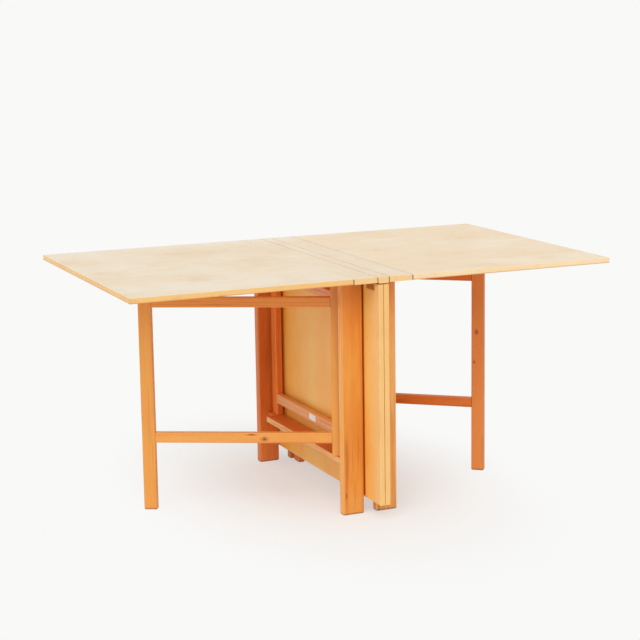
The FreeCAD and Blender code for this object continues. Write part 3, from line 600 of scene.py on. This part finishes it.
def screw_tree():
    """Node tree that sets a slotted countersunk head on every point, turned by chance."""
    tree = bpy.data.node_groups.new("hinge_screws", "GeometryNodeTree")
    sockets = {}
    for name, kind, value in (
        ("Geometry", "NodeSocketGeometry", None),
        ("Turn", "NodeSocketRotation", None),
        ("Head Radius", "NodeSocketFloat", 0.0031),
        ("Shank Radius", "NodeSocketFloat", 0.0016),
        ("Sunk Depth", "NodeSocketFloat", 0.0015),
        ("Crown Height", "NodeSocketFloat", 0.0003),
        ("Crown Share", "NodeSocketFloat", 0.72),
        ("Slot Width", "NodeSocketFloat", 0.0009),
        ("Slot Depth", "NodeSocketFloat", 0.0007),
        ("Seed", "NodeSocketInt", 7),
        ("Material", "NodeSocketMaterial", None),
    ):
        socket = tree.interface.new_socket(name, in_out="INPUT", socket_type=kind)
        if value is not None:
            socket.default_value = value
        sockets[name] = socket.identifier
    tree.interface.new_socket("Geometry", in_out="OUTPUT", socket_type="NodeSocketGeometry")
    given = add(tree, "NodeGroupInput").outputs

    head = add(tree, "GeometryNodeMeshCone", {"Vertices": HEAD_SIDES},
               {"Radius Top": given["Head Radius"], "Radius Bottom": given["Shank Radius"],
                "Depth": given["Sunk Depth"]})
    crown = add(tree, "GeometryNodeExtrudeMesh", {"Individual": False},
                {"Mesh": head, "Selection": head.outputs["Top"], "Offset Scale": given["Crown Height"]})
    domed = add(tree, "GeometryNodeScaleElements", {},
                {"Geometry": crown, "Selection": crown.outputs["Top"], "Scale": given["Crown Share"]})
    slot_length = add(tree, "ShaderNodeMath", {"operation": "MULTIPLY", 1: CUTTER_LENGTH},
                      {0: given["Head Radius"]})
    slot_height = add(tree, "ShaderNodeMath", {"operation": "MULTIPLY", 1: CUTTER_HEIGHT},
                      {0: given["Slot Depth"]})
    slot_size = add(tree, "ShaderNodeCombineXYZ", {},
                    {"X": slot_length, "Y": given["Slot Width"], "Z": slot_height})
    cutter = add(tree, "GeometryNodeMeshCube", {}, {"Size": slot_size})
    head_top = add(tree, "ShaderNodeMath", {"operation": "ADD"},
                   {0: given["Sunk Depth"], 1: given["Crown Height"]})
    slot_place = add(tree, "ShaderNodeCombineXYZ", {}, {"Z": head_top})
    cutter_set = add(tree, "GeometryNodeTransform", {}, {"Geometry": cutter, "Translation": slot_place})
    slotted = add(tree, "GeometryNodeMeshBoolean", {"operation": "DIFFERENCE"},
                  {"Mesh 1": domed, "Mesh 2": cutter_set})
    sink = add(tree, "ShaderNodeMath", {"operation": "MULTIPLY", 1: -1.0}, {0: given["Sunk Depth"]})
    sink_place = add(tree, "ShaderNodeCombineXYZ", {}, {"Z": sink})
    seated = add(tree, "GeometryNodeTransform", {}, {"Geometry": slotted, "Translation": sink_place})

    chance = add(tree, "FunctionNodeRandomValue", {"data_type": "FLOAT", 3: math.pi},
                 {"Seed": given["Seed"]})
    spin = add(tree, "FunctionNodeAxisAngleToRotation", {"Axis": (0, 0, 1)}, {"Angle": chance})
    turned = add(tree, "FunctionNodeRotateRotation", {"rotation_space": "LOCAL"},
                 {"Rotation": given["Turn"], "Rotate By": spin})
    points = add(tree, "GeometryNodeMeshToPoints", {}, {"Mesh": given["Geometry"]})
    placed = add(tree, "GeometryNodeInstanceOnPoints", {},
                 {"Points": points, "Instance": seated, "Rotation": turned})
    real = add(tree, "GeometryNodeRealizeInstances", {}, {"Geometry": placed})
    dressed = add(tree, "GeometryNodeSetMaterial", {}, {"Geometry": real, "Material": given["Material"]})
    add(tree, "NodeGroupOutput", {}, {"Geometry": dressed})
    return tree, sockets


def screw_rows(plates):
    """Places along Y of a plate pair's screws."""
    low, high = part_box(plates)
    reach = HINGE_LENGTH / 2 - SCREW_END_INSET
    middles = (low.y + HINGE_LENGTH / 2, high.y - HINGE_LENGTH / 2)
    return [middle + step * reach for middle in middles for step in (-1, 0, 1)]


def flat_screws(plates, away):
    """Screw places on plates under the wood; away is the side of the plate far from the barrel."""
    low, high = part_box(plates)
    x = (high.x if away > 0 else low.x) - away * PLATE_WIDTH / 2
    return [(x, y, high.z - PLATE_THICKNESS) for y in screw_rows(plates)]


def hung_screws(plates, outer):
    """Screw places on plates of a hanging leaf; outer is the side that its plates look to."""
    low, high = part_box(plates)
    x = low.x + PLATE_THICKNESS if outer > 0 else high.x - PLATE_THICKNESS
    return [(x, y, low.z + PLATE_WIDTH / 2) for y in screw_rows(plates)]


def set_screws(name, places, turn, body):
    """Makes the screws of one body a plain mesh that rides on it."""
    holes = bpy.data.meshes.new(f"{name}_places")
    holes.from_pydata(places, [], [])
    holder = bpy.data.objects.new(f"{name}_holder", holes)
    scene.collection.objects.link(holder)
    modifier = holder.modifiers.new("screws", "NODES")
    modifier.node_group = screws
    modifier[screw_sockets["Turn"]] = turn
    modifier[screw_sockets["Material"]] = screw_brass
    graph = bpy.context.evaluated_depsgraph_get()
    mesh = bpy.data.meshes.new_from_object(holder.evaluated_get(graph), depsgraph=graph)
    mesh.name = name
    bpy.data.objects.remove(holder)
    piece = bpy.data.objects.new(name, mesh)
    scene.collection.objects.link(piece)
    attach(piece, body)


screws, screw_sockets = screw_tree()
screw_brass = handled("turned_brass", SCREW_BRASS, SCREW_GLOSS)
FACE_DOWN = (math.pi, 0, 0)
for half, side in zip(HALVES, (-1, 1)):
    strip_places = flat_screws(f"{half}_leaf_hinge_strip_plates", -side)
    strip_places += flat_screws(f"{half}_inner_leaf_hinge_strip_plates", side)
    set_screws(f"{half}_strip_screws", strip_places, FACE_DOWN, f"{half}_half")
    leaf_places = flat_screws(f"{half}_leaf_hinge_leaf_plates", side)
    set_screws(f"{half}_leaf_screws", leaf_places, FACE_DOWN, f"{half}_outer_leaf")
    hung_places = hung_screws(f"{half}_inner_leaf_hinge_leaf_plates", side)
    face_out = (0, side * math.pi / 2, 0)
    set_screws(f"{half}_inner_leaf_screws", hung_places, face_out, f"{half}_hanging_leaf")

# Floor and backdrop: a pale studio floor that keeps the table's soft shadow and runs into white.
# Matt paper, drawn partly at an even white so that the shadow on it stays faint.
FLOOR_SIZE = 60.0
FLOOR_PAPER = "F4F2F0"
WHITE = "F9F9F8"
SHADOW_SHARE = 0.56  # the photographed shadow is faint, so part of the floor's own light is even
SHADOW_REACH = (0.1, 1.2)  # metres from the middle where the shadow starts to fade and is gone
SHADOW_SHAPE = (1.7, 1.0, 1.0)  # it is shorter along the table than across it


def seen_rays(tree):
    """Factor that is 1 for rays of the camera and of mirrors and glass, and 0 for lighting."""
    ray = add(tree, "ShaderNodeLightPath").outputs
    direct = add(tree, "ShaderNodeMath", {"operation": "MAXIMUM"},
                 {0: ray["Is Camera Ray"], 1: ray["Is Glossy Ray"]})
    return add(tree, "ShaderNodeMath", {"operation": "MAXIMUM"}, {0: direct, 1: ray["Is Transmission Ray"]})


half_floor = FLOOR_SIZE / 2
corners = [(x * half_floor, y * half_floor, 0) for x, y in ((-1, -1), (1, -1), (1, 1), (-1, 1))]
floor_mesh = bpy.data.meshes.new("studio_floor")
floor_mesh.from_pydata(corners, [], [(0, 1, 2, 3)])
floor = bpy.data.objects.new("studio_floor", floor_mesh)
scene.collection.objects.link(floor)
paper, paper_tree, paper_shader = start_material("backdrop_paper")
paper_tree.nodes.remove(paper_shader)
matt = add(paper_tree, "ShaderNodeBsdfDiffuse", {"Color": linear(FLOOR_PAPER)})
glow = add(paper_tree, "ShaderNodeEmission", {"Color": linear(WHITE), "Strength": 1.0})
floor_place = add(paper_tree, "ShaderNodeTexCoord").outputs["Object"]
narrowed = add(paper_tree, "ShaderNodeVectorMath", {"operation": "MULTIPLY", 1: SHADOW_SHAPE},
               {0: floor_place})
distance = add(paper_tree, "ShaderNodeVectorMath", {"operation": "LENGTH"}, {0: narrowed})
shadow_share = add(paper_tree, "ShaderNodeMapRange",
                   SMOOTH | {"From Min": SHADOW_REACH[0], "From Max": SHADOW_REACH[1],
                             "To Min": SHADOW_SHARE, "To Max": 0.0},
                   {"Value": distance})
blend = add(paper_tree, "ShaderNodeMixShader", {}, {0: shadow_share, 1: glow, 2: matt})
surface = add(paper_tree, "ShaderNodeMixShader", {}, {0: seen_rays(paper_tree), 1: matt, 2: blend})
link(paper_tree, surface, paper_tree.nodes["Material Output"].inputs["Surface"])
floor_mesh.materials.append(paper)

# Studio light: an even white room and one large soft light in front, a little to the left.
# The room is seen as plain white, and the soft light is a sun that spans a wide angle.
ROOM_WHITE = "FFFFFF"
ROOM_LIGHT = 0.62
WINDOW_LIGHT = 1.45
WINDOW_WIDTH = 50  # degrees that the soft light spans, seen from the table
WINDOW_AZIMUTH = 36  # degrees round to the left from the front
WINDOW_HEIGHT = 42  # degrees above the floor
world = bpy.data.worlds.new("white_room")
scene.world = world
world.use_nodes = True
world_tree = world.node_tree
room = world_tree.nodes["Background"]
room.inputs["Color"].default_value = linear(ROOM_WHITE)
room.inputs["Strength"].default_value = ROOM_LIGHT
shown = add(world_tree, "ShaderNodeBackground", {"Color": linear(WHITE), "Strength": 1.0})
room_mix = add(world_tree, "ShaderNodeMixShader", {}, {0: seen_rays(world_tree), 1: room, 2: shown})
link(world_tree, room_mix, world_tree.nodes["World Output"].inputs["Surface"])
lamp = bpy.data.lights.new("soft_window", "SUN")
lamp.energy = WINDOW_LIGHT
lamp.angle = math.radians(WINDOW_WIDTH)
lamp_object = bpy.data.objects.new("soft_window", lamp)
lamp_object.matrix_world = (
    Matrix.Rotation(math.radians(-WINDOW_AZIMUTH), 4, "Z")
    @ Matrix.Rotation(math.radians(90 - WINDOW_HEIGHT), 4, "X")
)
scene.collection.objects.link(lamp_object)

# Camera: at the photograph's place, height, lens and slight lean.
# Metres in the table's frame, degrees, and millimetres for the lens and sensor.
CAMERA_PLACE = (-2.0996, -4.859, 1.5143)
CAMERA_AZIMUTH = 23.328
CAMERA_PITCH = 10.628
CAMERA_LEAN = -0.875
CAMERA_LENS = 98.21
SENSOR_WIDTH = 36.0
camera = bpy.data.cameras.new("photo_camera")
camera.sensor_width = SENSOR_WIDTH
camera.lens = CAMERA_LENS
camera_object = bpy.data.objects.new("photo_camera", camera)
camera_object.matrix_world = (
    Matrix.Translation(CAMERA_PLACE)
    @ Matrix.Rotation(math.radians(-CAMERA_AZIMUTH), 4, "Z")
    @ Matrix.Rotation(math.radians(90 - CAMERA_PITCH), 4, "X")
    @ Matrix.Rotation(math.radians(CAMERA_LEAN), 4, "Z")
)
scene.collection.objects.link(camera_object)
scene.camera = camera_object
scene.view_settings.view_transform = "Standard"
